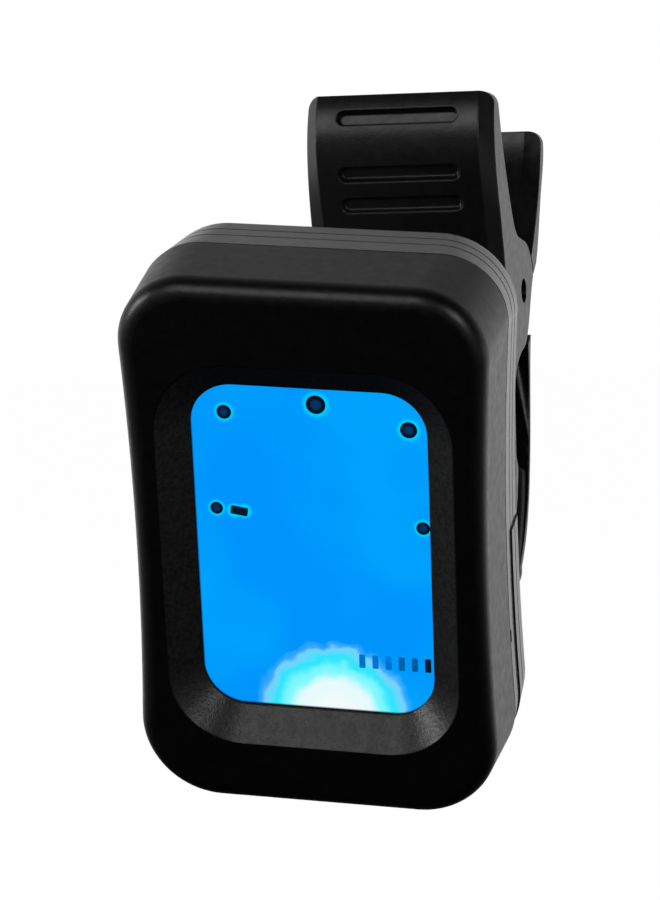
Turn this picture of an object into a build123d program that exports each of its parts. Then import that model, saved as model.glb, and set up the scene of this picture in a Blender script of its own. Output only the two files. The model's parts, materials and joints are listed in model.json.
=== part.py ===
"""A clip-on tuner: a display head on a tilting, swivelling bracket, held by a sprung two-jaw clip.

Frame: the origin is the centre of the front jaw pad's flat face. +X runs along the clip's hinge pin,
+Y from the front jaw to the rear jaw, and +Z up the jaws towards the levers. The display faces -Y and
leans forward, which is the pose that the joints count as zero. All lengths are in millimetres.
"""
import os
from math import cos, radians, sin

from build123d import *

os.makedirs("parts", exist_ok=True)

# ---- Driving dimensions ---------------------------------------------------------------------------

# Head
head_half_width = 20.5          # at the seam, where the head is largest
head_top = 31.4
head_bottom = -29.6
head_waist = 1.2                # how far each side bows in at mid height
top_corner, bottom_corner = 7.1, 8.2
front_draw_in, back_draw_in = 0.2, 0.35         # how much smaller the head is at its front and its back
corner_growth = 3.5             # extra corner radius for each millimetre drawn in
head_depth = 19.1
front_fillet = 2.1
back_fillet = 1.2
seam_depth = 11.0               # where the front shell meets the back shell
seam_gap, seam_gap_depth = 0.3, 0.4
wall = 1.8
back_wall = 1.6
display_width = 25.6
display_height = 37.7
display_corner = 4.8
recess_depth = 2.9
recess_slope = 3.3              # how much wider the recess is at the front, on each side

# Head pose on the clip
display_centre = (-4.16, -38.6, -1.04)
head_lean = 21.27               # degrees, top towards the viewer
head_turn = 4.41                # degrees, about the head's own depth axis
swivel_height = 7.0             # swivel axis above the display centre
tilt_arm = 10.1                 # from the head's back to the tilt axis

# Clip, measured from the hinge pin's axis
pivot_y = 3.4
pivot_z = 27.5
clip_width = 22.0
cheek = 2.0
pin_radius = 1.33
running_gap = 0.07
front_pad_thickness = 1.5
rear_pad_thickness = 2.2
pad_gap = 2.3                   # clear space between the two pads when the clip is shut
jaw_bottom = -35.3

# ---- Planes ---------------------------------------------------------------------------------------

lean, turn = radians(head_lean), radians(head_turn)
head_right = Vector(cos(turn), sin(lean) * sin(turn), -cos(lean) * sin(turn))
head_back = Vector(0, cos(lean), sin(lean))
head_up = head_right.cross(head_back)
face = Plane(origin=display_centre, x_dir=head_right, z_dir=-head_back)


def depth(d):
    """The plane parallel to the head's front face, d behind it."""
    return face.offset(-d)


def head_point(x, d, z):
    """A point of the head: x to the right, d behind the front face and z up, from the display centre."""
    return face.from_local_coords(Vector(x, z, -d))


def left_side(x):
    """The plane facing left, x left of the head's centre: local x runs up the head, local y backwards."""
    return Plane(origin=head_point(-x, 0, 0), x_dir=head_up, z_dir=-head_right)


def clip_plane(x=0.0):
    """The clip's side-view plane at x, with its origin on the hinge axis."""
    return Plane(origin=(x, pivot_y, pivot_z), x_dir=(0, 1, 0), z_dir=(1, 0, 0))


def save(part, name):
    """Labels one finished piece and writes its STEP file."""
    part.part.label = name
    export_step(part.part, f"parts/{name}.step")


# ---- Outlines of the head -------------------------------------------------------------------------

def head_outline(inset=0.0, draw_in=0.0):
    """The head seen from the front: straight ends, sides bowed in to a waist, round corners."""
    mid = (head_top + head_bottom) / 2
    half, top, bottom = head_half_width - draw_in, head_top - draw_in, head_bottom + draw_in
    with BuildSketch(Plane.XY) as outline:
        with BuildLine():
            Line((-half, bottom), (half, bottom))
            ThreePointArc((half, bottom), (half - head_waist, mid), (half, top))
            Line((half, top), (-half, top))
            ThreePointArc((-half, top), (-half + head_waist, mid), (-half, bottom))
        make_face()
        fillet(outline.vertices().group_by(Axis.Y)[-1], top_corner + corner_growth * draw_in)
        fillet(outline.vertices().group_by(Axis.Y)[0], bottom_corner + corner_growth * draw_in)
        if inset:
            offset(amount=-inset)
    return outline.sketch


def rear_outline(d, inset=0.0):
    """The head's outline at a depth behind the seam."""
    return head_outline(inset, back_draw_in * (d - seam_depth) / (head_depth - seam_depth))


def rounded(width, height, corner, centre=(0.0, 0.0)):
    """A rounded rectangle centred on a point of the head's face."""
    with BuildSketch(Plane.XY) as shape:
        with Locations(centre):
            RectangleRounded(width, height, corner)
    return shape.sketch


# ---- Places inside the head -----------------------------------------------------------------------

lip = 0.35                      # moulding in front of the window
window_depth = recess_depth + lip
window_thickness = 1.0
lcd_depth = window_depth + window_thickness + 0.05
lcd_thickness = 2.2
lcd_width, lcd_height = 27.8, 40.4
guide_depth = lcd_depth + lcd_thickness + 0.05
guide_thickness = 1.9
guide_height = 33.4
zebra_depth = guide_depth
board_depth = 9.1
board_thickness = 1.0
board_back = board_depth + board_thickness
screw_places = [(-14.2, 26.3), (14.2, 26.3), (-14.2, -24.6), (14.2, -24.6)]
boss_radius = 2.1
door_top = -1.1
door_depth = 14.0               # front edge of the battery door's rim
floor_back = head_depth - back_wall
floor_front = floor_back - 1.3
core_half_width = 17.2          # part of the back shell that the battery door slides over
core_bottom = -27.2
cell_radius = 10.0
cell_thickness = 3.2
cell_place = (0.0, -14.4)
cell_depth = floor_back - cell_thickness - 0.1
stud_radius = 3.0
swivel_place = (0.0, swivel_height)
button_length = 8.0
button_width = 3.0
button_depth = 13.4             # centre of the buttons, behind the front face
button_levels = {"power_button": 18.6, "mode_button": 7.4}
button_gap = 0.1
line_depths = (door_depth, 16.0)
line_size, line_inset = 0.3, 0.12
screw_seat = 13.2
rib_depth = 15.1
rib_size = 0.5
rail_length = 24.0
rail_level = core_bottom + rail_length / 2 - 0.5
door_proud = 0.18
notch_place, notch_size = (19.7, -12.7), (1.4, 1.5)     # for prying the shells apart
notch_depth = 0.9
guide_level = -1.7
board_width, board_height = 33.0, 42.6
microphone_place = (-12.8, -4.4)
piezo_place = (0.0, 20.0)
switch_edge = 15.3              # outer face of the push switches, left of centre
button_flange = 16.65           # inner face of the buttons, left of centre

# ---- Front shell ----------------------------------------------------------------------------------

with BuildPart() as front_shell:
    with BuildSketch(depth(0)):
        add(head_outline(draw_in=front_draw_in))
    with BuildSketch(depth(seam_depth)):
        add(head_outline())
    loft(ruled=True)
    front_face = front_shell.faces().sort_by(Axis(face.origin, face.z_dir))[-1]
    fillet(front_face.edges(), front_fillet)
    # Cavity behind the display wall
    with BuildSketch(depth(window_depth + window_thickness)):
        add(head_outline(wall))
    extrude(amount=-seam_depth, mode=Mode.SUBTRACT)
    # Sloped recess, the opening and the window's seat
    with BuildSketch(depth(0)):
        add(rounded(display_width + 2 * recess_slope, display_height + 2 * recess_slope,
                    display_corner + recess_slope))
    with BuildSketch(depth(recess_depth)):
        add(rounded(display_width, display_height, display_corner))
    loft(mode=Mode.SUBTRACT)
    with BuildSketch(depth(recess_depth)):
        add(rounded(display_width, display_height, display_corner))
    extrude(amount=-2 * lip, mode=Mode.SUBTRACT)
    with BuildSketch(depth(window_depth)):
        add(rounded(display_width + 3.0, display_height + 3.0, display_corner + 1.0))
    extrude(amount=-2 * window_thickness, mode=Mode.SUBTRACT)
    # Screw bosses, with pilot holes
    with BuildSketch(depth(window_depth + window_thickness)):
        with Locations(*screw_places):
            Circle(boss_radius)
    extrude(amount=-(seam_depth - window_depth - window_thickness))
    with BuildSketch(depth(seam_depth)):
        with Locations(*screw_places):
            Circle(0.9)
    extrude(amount=5.0, mode=Mode.SUBTRACT)
    # The rim inside the seam that locates the back shell
    with BuildSketch(depth(seam_depth)):
        add(head_outline(0.8))
        add(head_outline(wall), mode=Mode.SUBTRACT)
    extrude(amount=0.8, mode=Mode.SUBTRACT)
save(front_shell, "front_shell")

# ---- Back shell -----------------------------------------------------------------------------------

with BuildPart() as back_shell:
    with BuildSketch(depth(seam_depth)):
        add(head_outline())
    with BuildSketch(depth(head_depth)):
        add(rear_outline(head_depth))
    loft(ruled=True)
    back_face = back_shell.faces().sort_by(Axis(face.origin, face.z_dir))[0]
    fillet(back_face.edges(), back_fillet)
    # Shadow gap along the seam, with a small notch in the right side
    with BuildSketch(depth(seam_depth)):
        add(head_outline(-1.0))
        add(head_outline(seam_gap_depth), mode=Mode.SUBTRACT)
    extrude(amount=-seam_gap, mode=Mode.SUBTRACT)
    with BuildSketch(depth(seam_depth)):
        with Locations(notch_place):
            Rectangle(*notch_size)
    extrude(amount=-notch_depth, mode=Mode.SUBTRACT)
    # Fine lines round the edge
    for line_depth in line_depths:
        with BuildSketch(depth(line_depth - line_size / 2)):
            add(rear_outline(line_depth, -1.0))
            add(rear_outline(line_depth, line_inset), mode=Mode.SUBTRACT)
        extrude(amount=-line_size, mode=Mode.SUBTRACT)
    # Step that the battery door slides over
    with BuildSketch(depth(door_depth)):
        with Locations((0, door_top - 20)):
            Rectangle(60, 40)
        with Locations((0, (door_top + core_bottom) / 2)):
            Rectangle(2 * core_half_width, door_top - core_bottom, mode=Mode.SUBTRACT)
    extrude(amount=-10, mode=Mode.SUBTRACT)
    with BuildSketch(depth(floor_back)):
        with Locations((0, door_top - 20)):
            Rectangle(60, 40)
    extrude(amount=-10, mode=Mode.SUBTRACT)
    # Cavity, in the full outline up to the door step and in the core behind it
    with BuildSketch(depth(seam_depth)):
        add(head_outline(wall))
    extrude(amount=-(door_depth - wall - seam_depth), mode=Mode.SUBTRACT)
    with BuildSketch(depth(seam_depth)):
        add(head_outline(wall))
        with Locations((0, core_bottom + 1.4 - 10)):
            Rectangle(60, 20, mode=Mode.SUBTRACT)
        with Locations((core_half_width - 1.4 + 10, door_top - 20), (-core_half_width + 1.4 - 10, door_top - 20)):
            Rectangle(20, 40, mode=Mode.SUBTRACT)
    extrude(amount=-(floor_front - seam_depth), mode=Mode.SUBTRACT)
    with BuildSketch(depth(seam_depth)):
        add(head_outline(wall))
        with Locations((0, door_top + 1.5 - 20)):
            Rectangle(60, 40, mode=Mode.SUBTRACT)
    extrude(amount=-(floor_back - seam_depth), mode=Mode.SUBTRACT)
    # Screw bosses and counterbored holes
    with BuildSketch(depth(seam_depth)):
        with Locations(*screw_places):
            Circle(boss_radius)
    extrude(amount=-(floor_back - seam_depth))
    with BuildSketch(depth(seam_depth)):
        with Locations(*screw_places):
            Circle(1.0)
    extrude(amount=-10, mode=Mode.SUBTRACT)
    with BuildSketch(depth(screw_seat)):
        with Locations(*screw_places):
            Circle(1.75)
    extrude(amount=-10, mode=Mode.SUBTRACT)
    # Swivel bearing
    with BuildSketch(depth(floor_back - 0.8)):
        with Locations(swivel_place):
            Circle(5.2)
    extrude(amount=-1.0)
    with BuildSketch(depth(seam_depth)):
        with Locations(swivel_place):
            Circle(stud_radius + running_gap)
    extrude(amount=-10, mode=Mode.SUBTRACT)
    # Well for the coin cell, open at the top for the positive contact
    with BuildSketch(depth(cell_depth)):
        with Locations(cell_place):
            Circle(cell_radius + 1.6)
        with Locations((0, cell_place[1] + cell_radius)):
            Rectangle(8, 8, mode=Mode.SUBTRACT)
    extrude(amount=-(floor_back - cell_depth))
    with BuildSketch(depth(cell_depth)):
        with Locations(cell_place):
            Circle(cell_radius + 0.15)
    extrude(amount=-10, mode=Mode.SUBTRACT)
    # Grooves that the battery door's ribs slide in
    with BuildSketch(depth(rib_depth - 0.1)):
        with Locations((core_half_width, rail_level), (-core_half_width, rail_level)):
            Rectangle(1.2, rail_length)
    extrude(amount=-(rib_size + 0.2), mode=Mode.SUBTRACT)
    # Openings for the two buttons and the microphone's sound hole, all on the left side
    for level in button_levels.values():
        with BuildSketch(left_side(core_half_width - 2)):
            with Locations((level, button_depth)):
                SlotOverall(button_length + 2 * button_gap, button_width + 2 * button_gap)
        extrude(amount=5, mode=Mode.SUBTRACT)
    with BuildSketch(left_side(core_half_width - 2)):
        with Locations((microphone_place[1], seam_depth + 1.3)):
            Circle(0.6)
    extrude(amount=5, mode=Mode.SUBTRACT)
save(back_shell, "back_shell")

# ---- Battery door ---------------------------------------------------------------------------------

with BuildPart() as battery_door:
    for level in (door_depth + 0.1, head_depth):
        with BuildSketch(depth(level)):
            add(rear_outline(level, -door_proud))
            with Locations((0, door_top - 0.2 + 25)):
                Rectangle(60, 50, mode=Mode.SUBTRACT)
    loft(ruled=True)
    back_face = battery_door.faces().sort_by(Axis(face.origin, face.z_dir))[0]
    door_edges = back_face.edges().sort_by(Axis(face.origin, head_up))[:-1]
    fillet(door_edges, back_fillet)
    # Fine line that carries on round from the back shell
    with BuildSketch(depth(line_depths[1] - line_size / 2)):
        add(rear_outline(line_depths[1], -1.0))
        add(rear_outline(line_depths[1], line_inset - door_proud), mode=Mode.SUBTRACT)
    extrude(amount=-line_size, mode=Mode.SUBTRACT)
    # Hollow that fits over the back shell's core
    with BuildSketch(depth(door_depth)):
        with Locations((0, core_bottom - 0.1 + 20)):
            Rectangle(2 * core_half_width + 0.2, 40)
    extrude(amount=-(floor_back + 0.1 - door_depth), mode=Mode.SUBTRACT)
    # Ribs that hold it in the grooves
    with BuildSketch(depth(rib_depth)):
        with Locations((core_half_width, -16), (-core_half_width, -16)):
            Rectangle(0.8, 14)
    extrude(amount=-rib_size)
    # Thumb grooves
    with BuildSketch(depth(head_depth)):
        with Locations(*[(0, door_top - 5 - 1.8 * i) for i in range(4)]):
            SlotOverall(12, 0.9)
    extrude(amount=0.4, mode=Mode.SUBTRACT)
save(battery_door, "battery_door")

# ---- Display --------------------------------------------------------------------------------------

with BuildPart() as display_window:
    with BuildSketch(depth(window_depth + 0.02)):
        add(rounded(display_width + 2.8, display_height + 2.8, display_corner + 0.9))
    extrude(amount=-(window_thickness - 0.02))
save(display_window, "display_window")

with BuildPart() as lcd_panel:
    with BuildSketch(depth(lcd_depth)):
        Rectangle(lcd_width, lcd_height)
    extrude(amount=-lcd_thickness / 2)
    with BuildSketch(depth(lcd_depth + lcd_thickness / 2)):
        Rectangle(lcd_width - 0.6, lcd_height - 0.6)
    extrude(amount=-lcd_thickness / 2)
save(lcd_panel, "lcd_panel")

with BuildPart() as light_guide:
    with BuildSketch(depth(guide_depth)):
        with Locations((0, guide_level)):
            RectangleRounded(lcd_width - 0.4, guide_height, 0.8)
    extrude(amount=-guide_thickness)
save(light_guide, "light_guide")

with BuildPart() as backlight_led:
    with BuildSketch(depth(board_depth - 1.8)):
        with Locations((0, guide_level - guide_height / 2 - 1.0)):
            Rectangle(3.4, 1.5)
    extrude(amount=-1.75)
save(backlight_led, "backlight_led")

with BuildPart() as zebra_strip:
    with BuildSketch(depth(zebra_depth)):
        with Locations((0, 18.0)):
            RectangleRounded(24, 2.5, 0.5)
    extrude(amount=-(board_depth - 0.05 - zebra_depth))
save(zebra_strip, "zebra_strip")

with BuildPart() as lcd_frame:
    with BuildSketch(depth(lcd_depth + 0.05)):
        RectangleRounded(lcd_width + 2.6, lcd_height + 2.6, 1.6)
        Rectangle(lcd_width + 0.3, lcd_height + 0.3, mode=Mode.SUBTRACT)
    extrude(amount=-(board_depth - 0.05 - lcd_depth - 0.05))
save(lcd_frame, "lcd_frame")

# ---- Circuit board and its components -------------------------------------------------------------

with BuildPart() as main_board:
    with BuildSketch(depth(board_depth)):
        RectangleRounded(board_width, board_height, 2.0)
    extrude(amount=-board_thickness)
save(main_board, "main_board")

with BuildPart() as tuner_chip:
    with BuildSketch(depth(board_back + 0.01)):
        with Locations((-4.5, 15.5)):
            Circle(3.8)
    extrude(amount=-1.5)
    blob_top = tuner_chip.faces().sort_by(Axis(face.origin, face.z_dir))[0]
    fillet(blob_top.edges(), 1.4)
save(tuner_chip, "tuner_chip")

with BuildPart() as quartz_crystal:
    with BuildSketch(Plane(origin=head_point(5.5, board_back + 1.1, 16.5), x_dir=head_up, z_dir=head_right)):
        Circle(1.0)
    extrude(amount=6.0)
    fillet(quartz_crystal.edges(), 0.2)
save(quartz_crystal, "quartz_crystal")

with BuildPart() as chip_capacitors:
    with BuildSketch(depth(board_back + 0.01)):
        with Locations(*[(x, z) for x in (8.0, 12.0) for z in (2.0, 6.0, 10.0)]):
            Rectangle(2.0, 1.25)
    extrude(amount=-0.9)
save(chip_capacitors, "chip_capacitors")

with BuildPart() as microphone:
    with BuildSketch(depth(board_back + 0.01)):
        with Locations(microphone_place):
            Circle(2.0)
    extrude(amount=-1.7)
save(microphone, "microphone")

with BuildPart() as push_switches:
    for level in button_levels.values():
        with BuildSketch(depth(board_back + 0.01)):
            with Locations((-switch_edge + 1.6, level)):
                Rectangle(3.2, 5.0)
        extrude(amount=-4.2)
        with BuildSketch(left_side(switch_edge)):
            with Locations((level, button_depth - 0.6)):
                Rectangle(2.4, 1.4)
        extrude(amount=0.7)
save(push_switches, "push_switches")

with BuildPart() as piezo_disc:
    with BuildSketch(depth(floor_back - 0.35)):
        with Locations(piezo_place):
            Circle(5.5)
    extrude(amount=-0.3)
save(piezo_disc, "piezo_disc")

with BuildPart() as piezo_ceramic:
    with BuildSketch(depth(floor_back - 0.6)):
        with Locations(piezo_place):
            Circle(3.8)
    extrude(amount=-0.24)
save(piezo_ceramic, "piezo_ceramic")

# ---- Coin cell and contacts -----------------------------------------------------------------------

with BuildPart() as coin_cell:
    with BuildSketch(depth(cell_depth)):
        with Locations(cell_place):
            Circle(cell_radius - 1.0)
    extrude(amount=-0.4)
    with BuildSketch(depth(cell_depth + 0.4)):
        with Locations(cell_place):
            Circle(cell_radius)
    extrude(amount=-(cell_thickness - 0.4))
    can_bottom = coin_cell.faces().sort_by(Axis(face.origin, face.z_dir))[0]
    fillet(can_bottom.edges(), 0.35)
save(coin_cell, "coin_cell")

with BuildPart() as battery_minus_contact:
    with BuildSketch(Plane(origin=head_point(-2.0, 0, 0), x_dir=head_up, z_dir=head_right)):
        with BuildLine():
            leaf = Polyline(
                (cell_place[1] - 6.0, -(board_back + 0.2)),
                (cell_place[1] - 3.0, -(board_back + 0.2)),
                (cell_place[1] + 4.5, -(cell_depth - 0.25)),
                (cell_place[1] + 6.0, -(cell_depth - 1.0)),
            )
            offset(leaf, amount=0.15, side=Side.BOTH)
        make_face()
    extrude(amount=4.0)
save(battery_minus_contact, "battery_minus_contact")

with BuildPart() as battery_plus_contact:
    with BuildSketch(Plane(origin=head_point(-2.5, 0, 0), x_dir=head_up, z_dir=head_right)):
        with BuildLine():
            strip = Polyline(
                (cell_place[1] + cell_radius + 3.0, -(board_back + 0.2)),
                (cell_place[1] + cell_radius + 0.9, -(board_back + 0.2)),
                (cell_place[1] + cell_radius + 0.3, -(floor_front - 0.3)),
            )
            offset(strip, amount=0.15, side=Side.BOTH)
        make_face()
    extrude(amount=5.0)
save(battery_plus_contact, "battery_plus_contact")

# ---- Case screws ----------------------------------------------------------------------------------

with BuildPart() as case_screws:
    with BuildSketch(depth(screw_seat + 0.01)):
        with Locations(*screw_places):
            Circle(1.6)
    extrude(amount=-1.1)
    with BuildSketch(depth(screw_seat + 0.5)):
        with Locations(*screw_places):
            Circle(0.85)
    extrude(amount=6.2)
    with BuildSketch(depth(screw_seat + 1.11)):
        with Locations(*screw_places):
            Rectangle(2.2, 0.45)
            Rectangle(0.45, 2.2)
    extrude(amount=0.6, mode=Mode.SUBTRACT)
save(case_screws, "case_screws")

# ---- Buttons --------------------------------------------------------------------------------------

for button_name, level in button_levels.items():
    with BuildPart() as button:
        with BuildSketch(left_side(button_flange)):
            with Locations((level, button_depth)):
                SlotOverall(button_length + 1.4, button_width + 0.9)
        extrude(amount=0.6)
        with BuildSketch(left_side(button_flange)):
            with Locations((level, button_depth)):
                SlotOverall(button_length, button_width)
        extrude(amount=3.3)
        cap = button.faces().sort_by(Axis(face.origin, head_right))[0]
        fillet(cap.edges(), 0.4)
    save(button, button_name)

# ---- Tilt bracket and its fasteners ---------------------------------------------------------------

swivel_centre = head_point(0, head_depth, swivel_height)
bracket_face = Plane(origin=swivel_centre, x_dir=(1, 0, 0), z_dir=-head_back)
tilt_axis = swivel_centre + tilt_arm * head_back
bracket_x = tilt_axis.X
knuckle_radius = 3.0
knuckle_width = 6.2
ear_gap = 0.1
ear_thickness = 2.0
tilt_screw_radius = 1.2
disc_gap = 0.6
disc_thickness = 2.0
disc_radius = 6.4
stud_tip = floor_back - 0.85
washer_thickness = 0.6


def across(x):
    """The plane across the tilt axis, x right of the bracket's middle."""
    return Plane(origin=(bracket_x + x, tilt_axis.Y, tilt_axis.Z), x_dir=(0, 1, 0), z_dir=(1, 0, 0))


with BuildPart() as tilt_bracket:
    # Disc against the head's back
    with BuildSketch(bracket_face.offset(-disc_gap)):
        Circle(disc_radius)
    extrude(amount=-disc_thickness)
    fillet(tilt_bracket.edges(), 0.5)
    # Neck and knuckle
    with BuildSketch(bracket_face.offset(-disc_gap - disc_thickness / 2)):
        RectangleRounded(knuckle_width, 5.0, 1.0)
    extrude(amount=-(tilt_arm - disc_gap - disc_thickness / 2))
    with BuildSketch(across(-knuckle_width / 2)):
        Circle(knuckle_radius)
    extrude(amount=knuckle_width)
    with BuildSketch(across(-knuckle_width / 2)):
        Circle(tilt_screw_radius + running_gap)
    extrude(amount=knuckle_width, mode=Mode.SUBTRACT)
    # Stud that the head swivels on, drilled for its screw
    with BuildSketch(bracket_face.offset(-disc_gap - 0.5)):
        Circle(stud_radius)
    extrude(amount=head_depth - stud_tip + disc_gap + 0.5)
    with BuildSketch(bracket_face.offset(head_depth - stud_tip)):
        Circle(1.0)
    extrude(amount=-5.5, mode=Mode.SUBTRACT)
save(tilt_bracket, "tilt_bracket")

with BuildPart() as swivel_washer:
    with BuildSketch(bracket_face.offset(-0.05)):
        Circle(disc_radius - 0.5)
        Circle(stud_radius + 0.2, mode=Mode.SUBTRACT)
    extrude(amount=-(disc_gap - 0.1))
save(swivel_washer, "swivel_washer")

with BuildPart() as swivel_retainer:
    with BuildSketch(bracket_face.offset(head_depth - stud_tip + 0.02)):
        Circle(4.6)
        Circle(1.05, mode=Mode.SUBTRACT)
    extrude(amount=washer_thickness)
save(swivel_retainer, "swivel_retainer")

with BuildPart() as swivel_screw:
    with BuildSketch(bracket_face.offset(head_depth - stud_tip + washer_thickness + 0.04)):
        Circle(2.0)
    extrude(amount=1.0)
    with BuildSketch(bracket_face.offset(head_depth - stud_tip + washer_thickness + 0.5)):
        Circle(0.95)
    extrude(amount=-5.6)
    with BuildSketch(bracket_face.offset(head_depth - stud_tip + washer_thickness + 1.04)):
        Rectangle(2.6, 0.5)
        Rectangle(0.5, 2.6)
    extrude(amount=-0.55, mode=Mode.SUBTRACT)
save(swivel_screw, "swivel_screw")

ear_outside = knuckle_width / 2 + ear_gap + ear_thickness
with BuildPart() as tilt_screw:
    with BuildSketch(across(ear_outside - 1.1)):
        Circle(2.2)
    extrude(amount=2.0)
    rim = tilt_screw.faces().sort_by(Axis.X)[-1]
    fillet(rim.edges(), 0.6)
    with BuildSketch(across(-ear_outside + 0.1)):
        Circle(tilt_screw_radius)
    extrude(amount=2 * ear_outside - 0.5)
    with BuildSketch(across(ear_outside + 0.9)):
        Rectangle(3.0, 0.6)
        Rectangle(0.6, 3.0)
    extrude(amount=-0.9, mode=Mode.SUBTRACT)
save(tilt_screw, "tilt_screw")

with BuildPart() as tilt_nut:
    with BuildSketch(across(-ear_outside - 0.5)):
        RegularPolygon(radius=2.25, side_count=6)
        Circle(tilt_screw_radius + 0.02, mode=Mode.SUBTRACT)
    extrude(amount=1.5)
save(tilt_nut, "tilt_nut")

# ---- Clip: shapes that both jaws share ------------------------------------------------------------

half_width = clip_width / 2
inner_half = half_width - cheek
front_seat = -pivot_y - front_pad_thickness          # where the front pad is glued, from the hinge axis
rear_seat = -pivot_y + pad_gap + rear_pad_thickness
pad_top = -20.4
pad_bottom = -34.6
taper_top = -19.5
taper_in = 1.3                                  # how much each side draws in towards the jaw's end


def jaw_sides(inset=0.0):
    """What lies outside the tapering, round-cornered end of a jaw, seen from the front."""
    side, end = half_width - inset, jaw_bottom + inset
    corner = 3.0
    with BuildSketch(Plane.XY) as outside:
        with BuildLine():
            Line((side, taper_top), (side + 4, taper_top))
            Line((side + 4, taper_top), (side + 4, end - 4))
            Line((side + 4, end - 4), (0, end - 4))
            Line((0, end - 4), (0, end))
            Line((0, end), (side - taper_in - corner, end))
            ThreePointArc((side - taper_in - corner, end),
                          (side - taper_in - 0.25 * corner, end + 0.3 * corner),
                          (side - taper_in, end + 1.1 * corner))
            ThreePointArc((side - taper_in, end + 1.1 * corner),
                          (side - 0.27 * taper_in, (end + 1.1 * corner + taper_top) / 2),
                          (side, taper_top))
        make_face()
        mirror(about=Plane.YZ)
    return outside.sketch


def lever_corners(top, radius=1.5):
    """What lies outside a lever's end, seen from the front: round corners above slightly drawn-in sides."""
    tip_half = half_width - 0.25
    with BuildSketch(Plane.XY) as outside:
        with BuildLine():
            Polyline((half_width, top - 14), (half_width + 2, top - 14), (half_width + 2, top + 2), (0, top + 2),
                     (0, top), (tip_half - radius, top))
            RadiusArc((tip_half - radius, top), (tip_half, top - radius), radius)
            Line((tip_half, top - radius), (half_width, top - 14))
        make_face()
        mirror(about=Plane.YZ)
    return outside.sketch


def clip_view(y):
    """The clip's front-view plane at a distance y from the hinge axis."""
    return Plane(origin=(0, pivot_y + y, pivot_z), x_dir=(1, 0, 0), z_dir=(0, -1, 0))


front_view = clip_view(-25)

# ---- Front jaw ------------------------------------------------------------------------------------

groove_levels = (19.6, 13.4, 9.9)
groove_length, groove_width, groove_depth = 14.0, 1.8, 0.55
shoulder_width, shoulder_depth = 1.65, 2.0
crown_half = half_width - shoulder_width
front_curve = [(-13.9, 22.3), (-15.3, 17.0), (-13.0, 9.0), (-11.1, 3.5), (-9.6, -4.0), (-8.9, -12.0),
               (-8.5, -22.0), (-7.7, -34.2)]
shoulder_curve = [(-11.9, 22.3), (-13.3, 17.0), (-12.0, 9.0), (-10.1, 3.5), (-8.3, -4.0), (-7.2, -12.0),
                  (-6.6, -22.0), (-5.7, -34.2)]             # where the shoulder meets the jaw's side
skin = 2.2
hinge_bottom = (-0.9, -6.7)


def shifted(points, back):
    """The same side-view points, moved back."""
    return [(y + back, z) for y, z in points]


def grip_plane(level):
    """The plane that touches the lever's front at a level, facing out."""
    upper, lower = front_curve[1], front_curve[2]
    if level > upper[1]:
        upper, lower = front_curve[0], front_curve[1]
    rise, run = upper[1] - lower[1], upper[0] - lower[0]
    surface = lower[0] + (level - lower[1]) / rise * run
    return Plane(origin=(0, pivot_y + surface, pivot_z + level), x_dir=(1, 0, 0), z_dir=(0, -rise, run))


def front_profile(back):
    """Side view of the front jaw and its cheeks, with its front curve moved back."""
    curve = shifted(front_curve, back)
    with BuildSketch(Plane.XY) as profile:
        with BuildLine():
            Spline(*curve)
            Line(curve[-1], (-6.6 + back / 2, jaw_bottom))
            Line((-6.6 + back / 2, jaw_bottom), (front_seat, jaw_bottom))
            Line((front_seat, jaw_bottom), (front_seat, pad_top + 0.3))
            Line((front_seat, pad_top + 0.3), (-5.9, pad_top + 1.6))
            Line((-5.9, pad_top + 1.6), (-5.9, -11.5))
            Spline((-5.9, -11.5), (-4.4, -8.6), (-2.65, -7.4), hinge_bottom)
            Spline(hinge_bottom, (1.1, -5.7), (3.0, -2.9), (4.1, -0.5), (5.5, 1.75))
            ThreePointArc((5.5, 1.75), (3.52, 4.57), (0.4, 5.76))
            Line((0.4, 5.76), (-2.6, 6.15))
            Spline((-2.6, 6.15), (-4.3, 7.1), (-5.9, 9.2), (-8.2, 13.6), (-9.9, 18.0), (-10.9, 21.9))
            Line((-10.9, 21.9), curve[0])
        make_face()
    return profile.sketch


def shoulder_strip(curve):
    """A strip from a curve to well behind the shoulder: the end sections of a shoulder."""
    rear = shifted(front_curve, shoulder_depth + 0.6)
    with BuildSketch(Plane.XY) as strip:
        with BuildLine():
            Spline(*curve)
            Line(curve[-1], rear[-1])
            Spline(*reversed(rear))
            Line(rear[0], curve[0])
        make_face()
    return strip.sketch


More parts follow.
